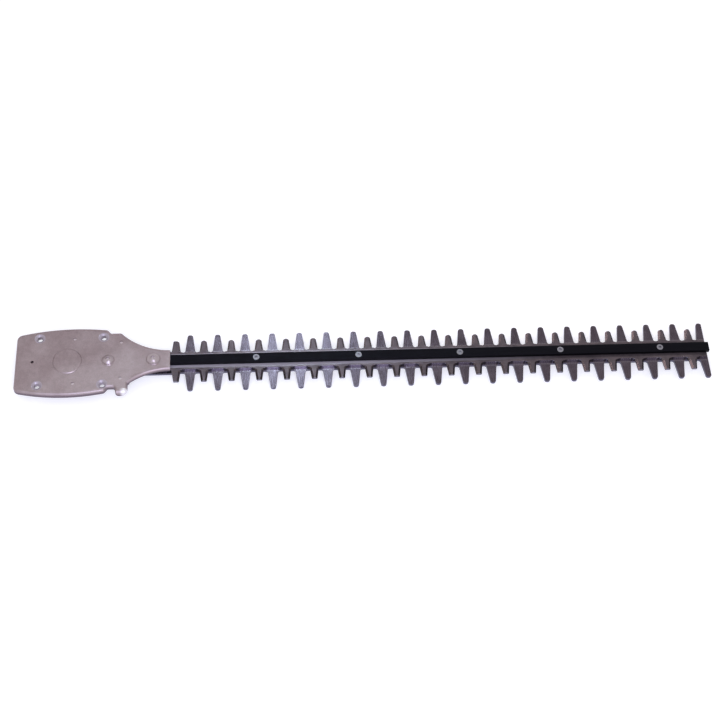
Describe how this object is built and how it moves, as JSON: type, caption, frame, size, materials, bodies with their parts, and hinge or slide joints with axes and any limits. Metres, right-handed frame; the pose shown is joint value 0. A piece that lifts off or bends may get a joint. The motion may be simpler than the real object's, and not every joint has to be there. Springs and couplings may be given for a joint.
{
  "type": "hedge trimmer blade",
  "caption": "Hedge trimmer blade: a cast gear cover carrying a fixed comb of long teeth, a sliding cutter of bevelled short teeth and a black support bar.",
  "frame": {"origin": "middle of the gear cover's four housing screw holes, on the face that meets the gear housing", "axes": "+X along the blade to its tip, +Y to the cover's side without the lug, +Z out of the cover's outer face"},
  "size_m": [0.6851, 0.0756, 0.02],
  "materials": {
    "cast_aluminium": "satin, as cast",
    "blade_steel": "satin, dark oxide",
    "cutter_steel": "satin, dark oxide with ground edges",
    "black_bar": "satin black",
    "zinc_steel": "zinc plated",
    "grey_steel": "satin grey"
  },
  "bodies": {
    "guide": {"gear_cover": "cast_aluminium", "guard_comb": "blade_steel", "support_bar": "black_bar", "bar_screws": "zinc_steel", "bar_bushes": "zinc_steel", "bar_washers": "zinc_steel", "bar_nuts": "zinc_steel", "neck_bolt": "grey_steel", "neck_bush": "zinc_steel", "neck_washer": "zinc_steel", "neck_nut": "zinc_steel", "rear_bolt": "grey_steel", "rear_bush": "zinc_steel", "rear_washer": "zinc_steel", "rear_nut": "zinc_steel"},
    "cutter": {"cutter_blade": "cutter_steel"}
  },
  "joints": [
    {"name": "cutter_stroke", "type": "slide", "parent": "guide", "child": "cutter", "axis": [1, 0, 0], "range_m": [-0.009, 0.009]}
  ]
}
